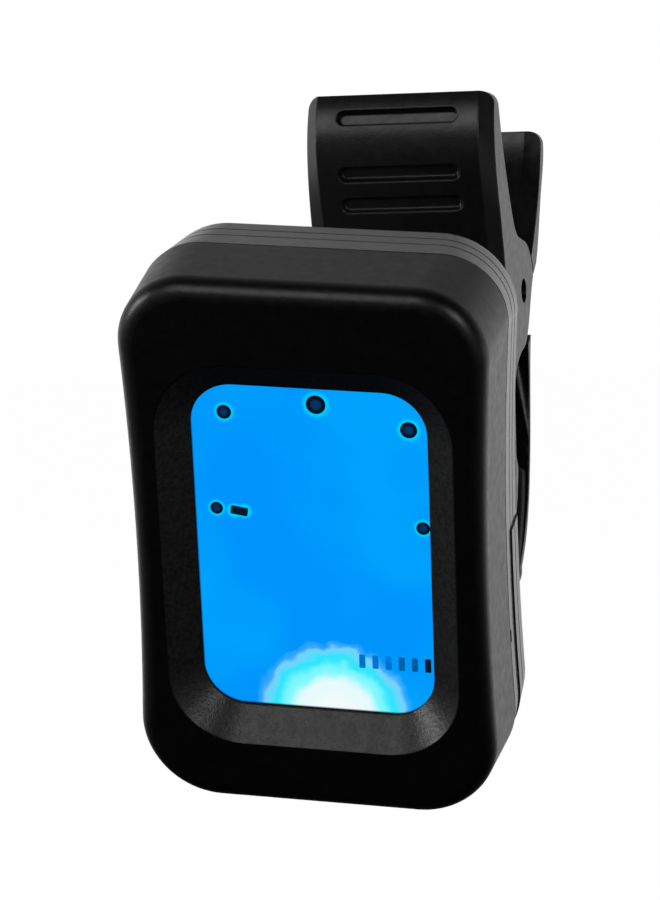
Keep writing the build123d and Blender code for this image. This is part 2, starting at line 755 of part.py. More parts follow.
with BuildPart() as front_jaw:
    with BuildSketch(clip_plane(-crown_half)):
        add(front_profile(0))
    extrude(amount=2 * crown_half)
    for side in (-1, 1):
        with BuildSketch(clip_plane(side * crown_half)):
            add(front_profile(shoulder_depth))
        extrude(amount=side * shoulder_width)
        with BuildSketch(clip_plane(side * crown_half)):
            add(shoulder_strip(front_curve))
        with BuildSketch(clip_plane(side * half_width)):
            add(shoulder_strip(shoulder_curve))
        loft(ruled=True)
    # Hollow between the cheeks, behind the lever's skin
    with BuildSketch(clip_plane(-inner_half)):
        with BuildLine():
            inside = shifted(front_curve, skin)
            Line((-11.7, 20.9), (8, 20.9))
            Line((8, 20.9), (8, -7.6))
            Line((8, -7.6), (-6.9, -7.6))
            Spline((-6.9, -7.6), inside[4], inside[3], inside[2], inside[1], (-11.7, 20.9))
        make_face()
    extrude(amount=2 * inner_half, mode=Mode.SUBTRACT)
    # Rounded corners of the lever's end and of the jaw's end
    with BuildSketch(front_view):
        add(lever_corners(front_curve[0][1]))
        add(jaw_sides())
    extrude(amount=-60, mode=Mode.SUBTRACT)
    # Grip grooves
    for level in groove_levels:
        with BuildSketch(grip_plane(level)):
            SlotOverall(groove_length, groove_width)
        extrude(amount=-groove_depth, taper=30, mode=Mode.SUBTRACT)
        with BuildSketch(grip_plane(level)):
            SlotOverall(groove_length, groove_width)
        extrude(amount=1.5, mode=Mode.SUBTRACT)
    # Pin hole
    with BuildSketch(clip_plane(-half_width)):
        Circle(pin_radius + running_gap)
    extrude(amount=clip_width, mode=Mode.SUBTRACT)
    # Ears for the tilt screw
    for x in (-ear_outside, ear_outside - ear_thickness):
        with BuildSketch(clip_plane(bracket_x + x)):
            with Locations((tilt_axis.Y - pivot_y, tilt_axis.Z - pivot_z)):
                Circle(knuckle_radius + 0.1)
            with Locations((-8.0, -5.5), (-8.0, -18.5)):
                Circle(0.4)
            make_hull()
        extrude(amount=ear_thickness)
    with BuildSketch(across(-ear_outside)):
        Circle(tilt_screw_radius + running_gap)
    extrude(amount=2 * ear_outside, mode=Mode.SUBTRACT)
    with BuildSketch(across(ear_outside)):
        Circle(2.3)
    extrude(amount=-1.2, mode=Mode.SUBTRACT)
    with BuildSketch(across(-ear_outside)):
        RegularPolygon(radius=2.3, side_count=6)
    extrude(amount=1.05, mode=Mode.SUBTRACT)
save(front_jaw, "front_jaw")

# ---- Rear jaw -------------------------------------------------------------------------------------

hub_half = inner_half - 0.1                     # the rear jaw's hub fits between the front jaw's cheeks
lug_width = 2.0
lug_radius = 4.6
rear_crown_half = 8.9                           # the full thickness ends here; the sides slope off beyond it
leg_groove = 1.6                                # width of the groove that the spring's leg lies in
leg_groove_place = 4.5
leg_groove_lean = 16.0                          # degrees that the leg leans back
leg_groove_line = (4.1, 5.0)                    # middle of the groove


def rear_lever(inner, root, heel, outer):
    """Side view of the rear lever: its inner curve, an arc clear of the cheeks and its outer curve."""
    middle = (Vector(*root) + Vector(*heel)).normalized() * 6.1
    with BuildSketch(Plane.XY) as profile:
        with BuildLine():
            Spline(*inner, root)
            ThreePointArc(root, (middle.X, middle.Y), heel)
            Line(heel, outer[0])
            Spline(*outer)
            Line(outer[-1], inner[0])
        make_face()
    return profile.sketch


def rear_grip(shoulder, outer):
    """Side view of the rear jaw below the hinge, from its top corner behind the cheek to its seat."""
    with BuildSketch(Plane.XY) as profile:
        with BuildLine():
            Polyline((1.9, -6.1), shoulder, outer[0])
            Spline(*outer)
            Polyline(outer[-1], (1.5, jaw_bottom), (rear_seat, jaw_bottom), (rear_seat, pad_top + 0.4),
                     (1.6, pad_top + 1.9))
            Spline((1.6, pad_top + 1.9), (1.95, -14.5), (1.9, -6.1))
        make_face()
    return profile.sketch


lever_crown = rear_lever([(12.2, 18.9), (10.2, 14.1), (6.85, 9.35)], (4.2, 4.42), (5.62, 2.4),
                         [(8.0, 2.9), (9.7, 6.6), (12.6, 12.3), (14.4, 16.2), (13.9, 18.9)])
lever_edge = rear_lever([(12.8, 18.9), (11.5, 14.1), (8.9, 9.35)], (4.6, 4.01), (5.75, 2.05),
                        [(7.4, 3.3), (9.2, 6.6), (11.9, 12.3), (13.8, 16.2), (13.7, 18.9)])
grip_crown = rear_grip((2.8, -5.8), [(5.4, -4.4), (4.55, -9.0), (3.5, -16.5), (3.3, -22.0), (3.0, -28.0),
                                     (2.2, -34.0)])
grip_edge = rear_grip((2.7, -5.6), [(3.5, -5.1), (2.9, -9.0), (2.3, -16.0), (1.6, -22.0), (1.6, -28.0),
                                    (1.55, -34.0)])

with BuildPart() as rear_jaw:
    # Lever and jaw: full thickness in the middle, thinner towards both sides
    for crown, edge in ((lever_crown, lever_edge), (grip_crown, grip_edge)):
        with BuildSketch(clip_plane(-rear_crown_half)):
            add(crown)
        extrude(amount=2 * rear_crown_half)
        for side in (-1, 1):
            with BuildSketch(clip_plane(side * rear_crown_half)):
                add(crown)
            with BuildSketch(clip_plane(side * half_width)):
                add(edge)
            loft(ruled=True)
    # Rounded corners of the lever's end and of the jaw's end
    with BuildSketch(front_view):
        add(lever_corners(18.9))
        add(jaw_sides())
    extrude(amount=-60, mode=Mode.SUBTRACT)
    # Hub between the cheeks, with the two lugs on the pin
    with BuildSketch(clip_plane(-hub_half)):
        with BuildLine():
            Polyline((4.13, 1.5), (4.2, 4.42), (7.5, 6.0), (8.0, 2.9))
            Spline((8.0, 2.9), (7.5, 0.5), (6.4, -3.0), (5.0, -7.0))
            Polyline((5.0, -7.0), (2.0, -7.4), (0.3, -6.2), (0.3, -4.39))
            ThreePointArc((0.3, -4.39), (3.1, -3.12), (4.13, 1.5))
        make_face()
    extrude(amount=2 * hub_half)
    for side in (-hub_half, hub_half - lug_width):
        with BuildSketch(clip_plane(side)):
            Circle(lug_radius)
        extrude(amount=lug_width)
    with BuildSketch(clip_plane(-hub_half)):
        Circle(pin_radius + running_gap)
    extrude(amount=2 * hub_half, mode=Mode.SUBTRACT)
    # Groove for the spring's leg
    with BuildSketch(clip_plane(leg_groove_place - leg_groove / 2)):
        with Locations(leg_groove_line):
            Rectangle(1.2, 9.0, rotation=-leg_groove_lean)
    extrude(amount=leg_groove, mode=Mode.SUBTRACT)
save(rear_jaw, "rear_jaw")

# ---- Hinge pin and spring -------------------------------------------------------------------------

pin_half = half_width - 0.8
with BuildPart() as hinge_pin:
    with BuildSketch(clip_plane(-pin_half)):
        Circle(pin_radius)
    extrude(amount=2 * pin_half)
    chamfer(hinge_pin.edges(), 0.25)
save(hinge_pin, "hinge_pin")

coil_radius = 2.55
wire_radius = 0.4
coil_pitch = 0.9
front_leg_angle, front_leg_length = 214.8, 15.1  # where the leg leaves the coils, in degrees round the pin
rear_leg_angle, rear_leg_length = 344.0, 10.0
whole_turns = 9
coil_height = coil_pitch * (whole_turns + (rear_leg_angle - front_leg_angle) / 360)


start = radians(front_leg_angle)
coil_plane = Plane(origin=(-coil_height / 2, pivot_y, pivot_z), x_dir=(0, cos(start), sin(start)),
                   z_dir=(1, 0, 0))
coils = coil_plane * Helix(pitch=coil_pitch, height=coil_height, radius=coil_radius)
first_end, last_end = coils @ 0, coils @ 1
first_way, last_way = coils % 0, coils % 1

with BuildPart() as clip_spring:
    with BuildSketch(Plane(origin=first_end, z_dir=first_way)):
        Circle(wire_radius)
    sweep(path=coils, is_frenet=True)
    with BuildSketch(Plane(origin=first_end, z_dir=-first_way)):
        Circle(wire_radius)
    extrude(amount=front_leg_length)
    with BuildSketch(Plane(origin=last_end, z_dir=last_way)):
        Circle(wire_radius)
    extrude(amount=rear_leg_length)
save(clip_spring, "clip_spring")

# ---- Pads -----------------------------------------------------------------------------------------

pad_inset = 0.4
pad_slots = (-4.2, -1.4, 1.4, 4.2)              # shallow grooves across each pad, from its middle
pad_slot_size = 0.5


def make_pad(name, back_level, front_level):
    """A rubber pad between two distances from the hinge axis; its gripping face is at front_level."""
    with BuildPart() as pad:
        with BuildSketch(clip_view(back_level)):
            with Locations((0, (pad_top + pad_bottom) / 2)):
                Rectangle(2 * (half_width - pad_inset), pad_top - pad_bottom)
            add(jaw_sides(pad_inset), mode=Mode.SUBTRACT)
        extrude(amount=back_level - front_level)
        with BuildSketch(clip_view(front_level)):
            with Locations(*[(0, (pad_top + pad_bottom) / 2 + level) for level in pad_slots]):
                Rectangle(2 * half_width - 7.0, pad_slot_size)
        extrude(amount=0.4 * (1 if front_level < back_level else -1), both=True, mode=Mode.SUBTRACT)
    save(pad, name)


make_pad("front_jaw_pad", front_seat, -pivot_y)
make_pad("rear_jaw_pad", rear_seat, -pivot_y + pad_gap)
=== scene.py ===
"""Looks of the clip-on tuner: materials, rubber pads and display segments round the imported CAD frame."""
import json
from math import cos, pi, radians, sin

import bpy
from mathutils import Matrix, Vector


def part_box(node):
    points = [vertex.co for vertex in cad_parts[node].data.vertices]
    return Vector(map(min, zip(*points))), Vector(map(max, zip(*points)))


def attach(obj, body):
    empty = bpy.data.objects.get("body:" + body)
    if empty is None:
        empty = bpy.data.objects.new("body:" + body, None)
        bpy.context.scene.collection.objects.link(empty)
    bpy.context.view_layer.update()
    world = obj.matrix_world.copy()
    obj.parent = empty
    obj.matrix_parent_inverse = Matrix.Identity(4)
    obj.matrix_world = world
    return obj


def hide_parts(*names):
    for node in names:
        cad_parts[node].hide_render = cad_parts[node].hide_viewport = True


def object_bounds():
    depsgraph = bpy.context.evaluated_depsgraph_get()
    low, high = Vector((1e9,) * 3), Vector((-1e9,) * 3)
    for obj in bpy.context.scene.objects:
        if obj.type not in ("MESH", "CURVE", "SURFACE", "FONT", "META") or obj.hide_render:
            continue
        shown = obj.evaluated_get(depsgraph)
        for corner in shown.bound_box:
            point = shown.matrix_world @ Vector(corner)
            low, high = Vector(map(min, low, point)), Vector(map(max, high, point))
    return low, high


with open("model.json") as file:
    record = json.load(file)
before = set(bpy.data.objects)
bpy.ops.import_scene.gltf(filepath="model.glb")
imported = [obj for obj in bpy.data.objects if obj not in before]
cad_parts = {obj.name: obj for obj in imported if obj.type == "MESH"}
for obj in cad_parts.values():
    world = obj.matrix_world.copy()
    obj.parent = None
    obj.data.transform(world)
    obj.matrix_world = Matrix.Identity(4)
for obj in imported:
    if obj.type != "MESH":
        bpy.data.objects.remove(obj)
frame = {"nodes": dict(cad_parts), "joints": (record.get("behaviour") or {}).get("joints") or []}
cad_low, cad_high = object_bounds()
MM = 0.001
WHITE = (1.0, 1.0, 1.0, 1.0)

# ---- Directions of the head ------------------------------------------------------------------------

joints = {joint["name"]: joint for joint in frame["joints"]}
head_back = Vector(joints["head_swivel"]["axis"])
head_up = -Vector(joints["battery_slide"]["axis"])
head_right = head_back.cross(head_up)
window_low, window_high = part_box("display_window")
window_middle = 3.75 * MM                      # the window's middle, behind the head's front plane
display_centre = (window_low + window_high) / 2 - head_back * window_middle


def head_point(x, depth, z):
    """A point of the head in the row frame, from millimetres right, behind and above the display centre."""
    return display_centre + (head_right * x + head_back * depth + head_up * z) * MM


# ---- Node helpers ----------------------------------------------------------------------------------

def add_node(tree, kind, settings=None, **inputs):
    """Adds a shader node. Inputs are given by name, with _ for a space, as values or as sockets."""
    node = tree.nodes.new(kind)
    for name, value in (settings or {}).items():
        setattr(node, name, value)
    for name, value in inputs.items():
        socket = node.inputs[int(name[1:])] if name[0] == "i" and name[1:].isdigit() \
            else node.inputs[name.replace("_", " ")]
        if isinstance(value, bpy.types.NodeSocket):
            tree.links.new(value, socket)
        else:
            socket.default_value = value
    return node


def math_node(tree, operation, first, second=0.0, clamp=False):
    """The result of a math node."""
    return add_node(tree, "ShaderNodeMath", {"operation": operation, "use_clamp": clamp},
                    i0=first, i1=second).outputs[0]


def ramp(tree, value, stops):
    """The colour of a smooth ramp with stops of (position, colour)."""
    node = add_node(tree, "ShaderNodeValToRGB", i0=value)
    node.color_ramp.interpolation = "EASE"
    elements = node.color_ramp.elements
    while len(elements) < len(stops):
        elements.new(0.5)
    for element, (position, colour) in zip(elements, stops):
        element.position = position
        element.color = (*colour, 1.0)
    return node.outputs["Color"]


def grey(value):
    """A grey colour."""
    return (value, value, value)


def mix(tree, share, first, second):
    """A blend of two colours or sockets."""
    return add_node(tree, "ShaderNodeMix", {"data_type": "RGBA"}, i0=share, i6=first, i7=second).outputs[2]


def noise(tree, scale, detail=3.0, roughness=0.55, distortion=0.0, vector=None):
    """A noise value; scale is features per metre."""
    where = vector or add_node(tree, "ShaderNodeTexCoord").outputs["Object"]
    return add_node(tree, "ShaderNodeTexNoise", Vector=where, Scale=scale, Detail=detail,
                    Roughness=roughness, Distortion=distortion).outputs["Fac"]


def smooth_range(tree, value, source, target):
    """A value eased from one range to another."""
    return add_node(tree, "ShaderNodeMapRange", {"interpolation_type": "SMOOTHSTEP"}, Value=value,
                    From_Min=source[0], From_Max=source[1], To_Min=target[0], To_Max=target[1]).outputs[0]


def new_material(name):
    """A material with an empty node tree and its output node."""
    material = bpy.data.materials.new(name)
    material.use_nodes = True
    material.node_tree.nodes.clear()
    tree = material.node_tree
    output = tree.nodes.new("ShaderNodeOutputMaterial")
    return material, tree, output


def edge_mask(tree, radius):
    """Near 1 on edges sharper than the radius, 0 on flats."""
    soft = add_node(tree, "ShaderNodeBevel", {"samples": 4}, Radius=radius).outputs[0]
    plain = add_node(tree, "ShaderNodeNewGeometry").outputs["Normal"]
    agree = add_node(tree, "ShaderNodeVectorMath", {"operation": "DOT_PRODUCT"}, i0=soft, i1=plain)
    bend = math_node(tree, "SUBTRACT", 1.0, agree.outputs["Value"], clamp=True)
    return math_node(tree, "MULTIPLY", bend, 6.0, clamp=True)


def along(tree, where, direction):
    """Millimetres from the display centre along a direction."""
    offset = add_node(tree, "ShaderNodeVectorMath", {"operation": "DOT_PRODUCT"}, i0=where,
                      i1=tuple(direction)).outputs["Value"]
    return math_node(tree, "DIVIDE", math_node(tree, "SUBTRACT", offset, display_centre.dot(direction)), MM)


recess_start = 0.12                            # millimetres behind the face
recess_reach = ((head_right, 16.3), (head_up, 22.4))


def recess_mask(tree, where):
    """1 on the sloped walls round the display, 0 elsewhere."""
    mask = math_node(tree, "GREATER_THAN", along(tree, where, head_back), recess_start)
    for direction, reach in recess_reach:
        distance = math_node(tree, "ABSOLUTE", along(tree, where, direction))
        mask = math_node(tree, "MULTIPLY", mask, math_node(tree, "LESS_THAN", distance, reach))
    return mask


def surface(name, colour, roughness, grain=0.0, grain_depth=0.0, metal=0.0, wear=0.0, edge=0.15,
            blotch=0.15, coat=0.0, stretch=None, sheen=0.0, specular=0.5, recess=None):
    """A principled material with grain, blotches of colour and roughness, soft edges and worn edges."""
    material, tree, output = new_material(name)
    where = add_node(tree, "ShaderNodeTexCoord").outputs["Object"]
    if stretch:
        where = add_node(tree, "ShaderNodeMapping", Vector=where, Scale=stretch).outputs[0]
    slow = noise(tree, 90.0, 4.0, 0.6, vector=where)
    fine = noise(tree, 900.0, 3.0, 0.6, vector=where)
    darker, lighter = [[c * (1 + s * blotch) for c in colour] for s in (-1, 1)]
    base = ramp(tree, slow, [(0.3, darker), (0.7, lighter)])
    rough = add_node(tree, "ShaderNodeMapRange", Value=fine, From_Min=0.3, From_Max=0.7,
                     To_Min=roughness - 0.05, To_Max=roughness + 0.05).outputs[0]
    soft = add_node(tree, "ShaderNodeBevel", {"samples": 6}, Radius=edge * MM).outputs[0]
    if wear:
        mask = edge_mask(tree, 1.6 * edge * MM)
        patchy = math_node(tree, "MULTIPLY", mask, math_node(tree, "MULTIPLY", slow, 2.0 * wear), clamp=True)
        base = mix(tree, patchy, base, (*[min(1.0, c * 2.5 + 0.03) for c in colour], 1.0))
        rough = math_node(tree, "SUBTRACT", rough, math_node(tree, "MULTIPLY", patchy, 0.15))
    normal = soft
    if grain:
        height = noise(tree, 1000.0 / grain, 2.0, 0.5, vector=where)
        normal = add_node(tree, "ShaderNodeBump", Height=height, Distance=grain_depth * MM, Strength=1.0,
                          Normal=soft).outputs[0]
    if recess:
        # The walls round the display have a coarser, greyer texture
        mask = recess_mask(tree, where)
        eroded = noise(tree, 2200.0, 3.0, 0.65, vector=where)
        texture = ramp(tree, eroded, [(0.35, grey(0.6 * recess)), (0.65, grey(1.4 * recess))])
        base = mix(tree, mask, base, texture)
        normal = add_node(tree, "ShaderNodeBump", Height=eroded, Distance=0.05 * MM, Normal=normal,
                          Strength=mask).outputs[0]
    shader = add_node(tree, "ShaderNodeBsdfPrincipled", Base_Color=base, Roughness=rough, Metallic=metal,
                      Normal=normal)
    shader.inputs["Coat Weight"].default_value = coat
    shader.inputs["Sheen Weight"].default_value = sheen
    shader.inputs["Specular IOR Level"].default_value = specular
    tree.links.new(shader.outputs[0], output.inputs[0])
    return material


# ---- Display ---------------------------------------------------------------------------------------

dots = [(-9.41, 15.07, 0.80), (0.62, 16.49, 1.06), (10.52, 14.20, 0.92), (-10.76, 3.83, 0.70),
        (11.76, 2.98, 0.74)]                    # across, up and radius in millimetres
dash_place, dash_size = (-8.28, 3.65), (1.9, 1.0)
dash_corner, dash_lean = 0.15, radians(-8)
dash_ends = [(dash_place[0] + shift, dash_place[1], 0.62) for shift in (-0.55, 0.55)]
bar_row, bar_start, bar_step = -13.3, 4.6, 1.45
glow_centre, glow_radius = (1.4, -19.9), 7.4
glow_span = 1.5 * glow_radius                  # distance over which the glow's colours run
border_centre, border_flat, border_corner = (-0.20, -0.40), (8.3, 14.3), 4.55
border_fade = 0.1                              # half the width over which the border turns black
ring_width = 2.2                               # reach of a dot's light ring, in dot radii
spill = 0.03                                   # how strongly the display lights what is round it


def distance_from(tree, where, x, z, flat=(0.0, 0.0)):
    """Millimetres from a place on the display, or from a rectangle of half size flat round it."""
    squares = []
    for direction, middle, half in ((head_right, x, flat[0]), (head_up, z, flat[1])):
        gap = math_node(tree, "ABSOLUTE", math_node(tree, "SUBTRACT", along(tree, where, direction), middle))
        gap = math_node(tree, "MAXIMUM", math_node(tree, "SUBTRACT", gap, half), 0.0)
        squares.append(math_node(tree, "MULTIPLY", gap, gap))
    return math_node(tree, "SQRT", math_node(tree, "ADD", *squares))


def lcd_material():
    """Backlit blue glass: rings round the dots, and the lamp's glow at the bottom edge."""
    material, tree, output = new_material("lcd_glow")
    where = add_node(tree, "ShaderNodeTexCoord").outputs["Object"]
    drift = noise(tree, 60.0, 2.0)
    colour = ramp(tree, drift, [(0.35, (0.0, 0.31, 1.0)), (0.65, (0.0, 0.38, 1.0))])
    for x, z, radius in dots + dash_ends:
        outward = math_node(tree, "DIVIDE", distance_from(tree, where, x, z), radius * ring_width)
        ring = ramp(tree, outward, [(0.0, grey(0.0)), (0.42, grey(1.0)), (0.52, grey(0.8)), (0.72, grey(0.0))])
        colour = mix(tree, ring, colour, (0.0, 0.66, 1.0, 1.0))
    # The lamp's glow, more ragged towards its top
    cloud = noise(tree, 480.0, 2.5, 0.5)
    height = math_node(tree, "SUBTRACT", along(tree, where, head_up), glow_centre[1])
    upward = math_node(tree, "DIVIDE", height, glow_radius, clamp=True)
    ragged = math_node(tree, "ADD", math_node(tree, "MULTIPLY", upward, 2.6), 0.5)
    wobble = math_node(tree, "MULTIPLY", math_node(tree, "SUBTRACT", cloud, 0.5), ragged)
    spread = math_node(tree, "ADD", distance_from(tree, where, *glow_centre), wobble)
    reach = math_node(tree, "DIVIDE", spread, glow_span)
    glow = ramp(tree, reach, [(0.0, (1.0, 1.0, 1.0)), (0.34, (0.85, 1.0, 1.0)), (0.48, (0.22, 0.98, 1.0)),
                              (0.60, (0.03, 0.82, 1.0)), (0.66, (0.14, 0.72, 1.0)), (0.70, (0.20, 0.66, 1.0)),
                              (0.75, (0.06, 0.48, 1.0))])
    share = ramp(tree, reach, [(0.0, grey(1.0)), (0.69, grey(1.0)), (0.74, grey(0.5)), (0.80, grey(0.0))])
    colour = mix(tree, share, colour, glow)
    # Black border just inside the opening
    corner = distance_from(tree, where, *border_centre, flat=border_flat)
    border = add_node(tree, "ShaderNodeMapRange", Value=corner, From_Min=border_corner - border_fade,
                      From_Max=border_corner + border_fade).outputs[0]
    colour = mix(tree, border, colour, (0.0, 0.0, 0.0, 1.0))
    seen = add_node(tree, "ShaderNodeLightPath").outputs["Is Camera Ray"]
    strength = add_node(tree, "ShaderNodeMapRange", Value=seen, To_Min=spill, To_Max=1.0).outputs[0]
    shader = add_node(tree, "ShaderNodeEmission", Color=colour, Strength=strength)
    tree.links.new(shader.outputs[0], output.inputs[0])
    return material


def window_material():
    """Clear plastic: nearly invisible face on, with a soft reflection at a slant."""
    material, tree, output = new_material("clear_window")
    fresnel = add_node(tree, "ShaderNodeFresnel", IOR=1.35).outputs[0]
    smear = noise(tree, 150.0, 3.0)
    gloss = add_node(tree, "ShaderNodeBsdfGlossy", Roughness=math_node(tree, "MULTIPLY", smear, 0.12))
    clear = add_node(tree, "ShaderNodeBsdfTransparent", Color=(0.98, 0.99, 1.0, 1.0))
    shader = add_node(tree, "ShaderNodeMixShader", i0=math_node(tree, "MULTIPLY", fresnel, 0.5),
                      i1=clear.outputs[0], i2=gloss.outputs[0])
    tree.links.new(shader.outputs[0], output.inputs[0])
    return material


# ---- Materials of the carried-over pieces ----------------------------------------------------------

shell_black = surface("shell_black", (0.0024, 0.0024, 0.0026), 0.35, grain=0.22, grain_depth=0.005, wear=0.12,
                      edge=0.15, recess=0.022)
rear_black = surface("rear_black", (0.030, 0.030, 0.031), 0.44, grain=0.26, grain_depth=0.007, wear=0.12,
                     edge=0.12, coat=0.6, specular=1.0)
clip_black = surface("clip_black", (0.0032, 0.0032, 0.0034), 0.34, grain=0.24, grain_depth=0.010, wear=0.15,
                     edge=0.3, specular=0.6)
button_black = surface("button_black", (0.014, 0.014, 0.015), 0.45, grain=0.18, grain_depth=0.008, wear=0.4,
                       edge=0.12)
blued_steel = surface("blued_steel", (0.07, 0.07, 0.075), 0.32, metal=1.0, grain=0.12, grain_depth=0.002,
                      wear=0.8, edge=0.06)
pin_steel = surface("pin_steel", (0.42, 0.42, 0.43), 0.30, metal=1.0, grain=0.08, grain_depth=0.003,
                    wear=0.3, edge=0.08, stretch=(0.1, 1, 1))
spring_steel = surface("spring_steel", (0.30, 0.30, 0.31), 0.28, metal=1.0, grain=0.1, grain_depth=0.002)
plated_steel = surface("plated_steel", (0.62, 0.61, 0.58), 0.24, metal=1.0, grain=0.15, grain_depth=0.002)
cell_steel = surface("cell_steel", (0.66, 0.66, 0.67), 0.26, metal=1.0, grain=0.1, grain_depth=0.002,
                     stretch=(1, 0.2, 1))
brass = surface("brass_sheet", (0.74, 0.53, 0.22), 0.34, metal=1.0, grain=0.1, grain_depth=0.002)
ceramic = surface("fired_ceramic", (0.76, 0.75, 0.71), 0.5, grain=0.1, grain_depth=0.002)
board_green = surface("board_green", (0.012, 0.13, 0.05), 0.35, grain=0.35, grain_depth=0.006, coat=0.3)
chip_black = surface("chip_black", (0.015, 0.015, 0.016), 0.55, grain=0.08, grain_depth=0.003)
frame_white = surface("frame_white", (0.6, 0.6, 0.57), 0.45, grain=0.2, grain_depth=0.003)
guide_clear = surface("guide_clear", (0.08, 0.45, 0.85), 0.15, coat=0.5)
lamp_clear = surface("lamp_clear", (0.85, 0.93, 1.0), 0.12, coat=0.5)
zebra_rubber = surface("zebra_rubber", (0.55, 0.36, 0.42), 0.7, grain=0.15, grain_depth=0.004,
                       stretch=(6, 1, 1))
washer_rubber = surface("washer_rubber", (0.02, 0.02, 0.02), 0.6, grain=0.15, grain_depth=0.004)

finishes = {
    shell_black: ["front_shell"],
    rear_black: ["back_shell", "battery_door"],
    clip_black: ["front_jaw", "rear_jaw", "tilt_bracket"],
    button_black: ["power_button", "mode_button", "push_switches"],
    blued_steel: ["case_screws", "tilt_screw", "tilt_nut"],
    pin_steel: ["hinge_pin"],
    spring_steel: ["clip_spring"],
    plated_steel: ["battery_minus_contact", "battery_plus_contact", "swivel_retainer", "swivel_screw",
                   "quartz_crystal", "microphone"],
    cell_steel: ["coin_cell"],
    brass: ["piezo_disc"],
    ceramic: ["piezo_ceramic", "chip_capacitors"],
    board_green: ["main_board"],
    chip_black: ["tuner_chip"],
    frame_white: ["lcd_frame"],
    guide_clear: ["light_guide"],
    lamp_clear: ["backlight_led"],
    zebra_rubber: ["zebra_strip"],
    washer_rubber: ["swivel_washer"],
    lcd_material(): ["lcd_panel"],
    window_material(): ["display_window"],
}
for material, names in finishes.items():
    for name in names:
        node = frame["nodes"][name]
        node.data.materials.clear()
        node.data.materials.append(material)


# ---- Pieces built here -----------------------------------------------------------------------------

def make_piece(name, points, faces, material, body, smooth=True):
    """A mesh from points in metres, riding on a CAD body."""
    mesh = bpy.data.meshes.new(name)
    mesh.from_pydata([tuple(point) for point in points], [], faces)
    mesh.validate()
    mesh.update()
    piece = bpy.data.objects.new(name, mesh)
    bpy.context.scene.collection.objects.link(piece)
    mesh.materials.append(material)
    if smooth:
        mesh.polygons.foreach_set("use_smooth", [True] * len(mesh.polygons))
    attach(piece, body)
    return piece


pad_rows, pad_columns = 90, 60
pad_taper, taper_height, taper_power = 0.123, 0.95, 1.7
pad_low_corner, pad_high_corner = 2.2 * MM, 0.7 * MM
pad_edge = 0.5 * MM                            # radius round the gripping face
rib_start, rib_rise = 1.2 * MM, 0.5 * MM       # where the ribs begin inside the rim, and their run-out
rib_spacing, rib_height = 1.42 * MM, 0.32 * MM


def pad_half_width(level, low, high, widest):
    """Half width of a pad at a level: straight, then drawn in towards its lower end, round at the corners."""
    share = (level - low) / (high - low)
    half = widest * (1 - pad_taper * max(0.0, 1 - share / taper_height) ** taper_power)
    for end_gap, radius in ((level - low, pad_low_corner), (high - level, pad_high_corner)):
        if end_gap < radius:
            half -= radius - (radius ** 2 - (radius - end_gap) ** 2) ** 0.5
    return half


def make_pad(node, side, rubber):
    """A soft pad with cushioned edges and ribs on its gripping face; side is +1 if that faces +Y."""
    low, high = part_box(node)
    back, front = (low.y, high.y) if side > 0 else (high.y, low.y)
    rows, columns = pad_rows, pad_columns
    widest = (high.x - low.x) / 2
    points = []
    for layer in (0, 1):
        for row in range(rows + 1):
            # Rows crowd towards both ends, where the corners curve
            share = (1 - cos(pi * row / rows)) / 2
            level = low.z + (high.z - low.z) * share
            half = pad_half_width(level, low.z, high.z, widest)
            for column in range(columns + 1):
                x = half * -cos(pi * column / columns)
                rim = min(half - abs(x), level - low.z, high.z - level)
                fall = 0.0 if rim >= pad_edge else pad_edge - (pad_edge ** 2 - (pad_edge - rim) ** 2) ** 0.5
                inner = min(1.0, max(0.0, (rim - rib_start) / rib_rise))
                wave = (1 + cos(2 * pi * (level - low.z) / rib_spacing)) / 2
                groove = rib_height * inner * wave ** 2
                depth = back if layer == 0 else front - side * (fall + groove)
                points.append((x, depth, level))
    faces = []
    stride = columns + 1
    layer_size = (rows + 1) * stride

    def index(layer, row, column):
        return layer * layer_size + row * stride + column

    for row in range(rows):
        for column in range(columns):
            quad = [index(0, row, column), index(0, row, column + 1), index(0, row + 1, column + 1),
                    index(0, row + 1, column)]
            top = [i + layer_size for i in quad]
            faces += [quad if side > 0 else quad[::-1], top[::-1] if side > 0 else top]
    rim_loop = [(0, c) for c in range(columns)] + [(r, columns) for r in range(rows)] \
        + [(rows, c) for c in range(columns, 0, -1)] + [(r, 0) for r in range(rows, 0, -1)]
    for (r1, c1), (r2, c2) in zip(rim_loop, rim_loop[1:] + rim_loop[:1]):
        wall = [index(0, r1, c1), index(1, r1, c1), index(1, r2, c2), index(0, r2, c2)]
        faces.append(wall if side > 0 else wall[::-1])
    body = "clip" if node == "front_jaw_pad" else "rear_jaw"
    pad = make_piece(node + "_rubber", points, faces, rubber, body)
    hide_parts(node)


pad_rubber = surface("pad_rubber", (0.013, 0.013, 0.0135), 0.72, grain=0.16, grain_depth=0.012, wear=0.3,
                     edge=0.12, sheen=0.04, specular=0.25)
make_pad("front_jaw_pad", 1, pad_rubber)
make_pad("rear_jaw_pad", -1, pad_rubber)


def segment_material(name, colour, heart=None):
    """Dark liquid crystal segment with a faint mottle; the dots have a heart of another colour."""
    material, tree, output = new_material(name)
    mottle = noise(tree, 1500.0, 2.0)
    shade = ramp(tree, mottle, [(0.3, tuple(0.7 * c for c in colour)), (0.7, colour)])
    if heart:
        where = add_node(tree, "ShaderNodeTexCoord").outputs["Object"]
        for x, z, radius in dots:
            outward = math_node(tree, "DIVIDE", distance_from(tree, where, x, z), radius)
            share = ramp(tree, outward, [(0.0, grey(1.0)), (0.35, grey(1.0)), (0.75, grey(0.0))])
            shade = mix(tree, share, shade, heart)
    shader = add_node(tree, "ShaderNodeEmission", Color=shade, Strength=1.0)
    tree.links.new(shader.outputs[0], output.inputs[0])
    return material


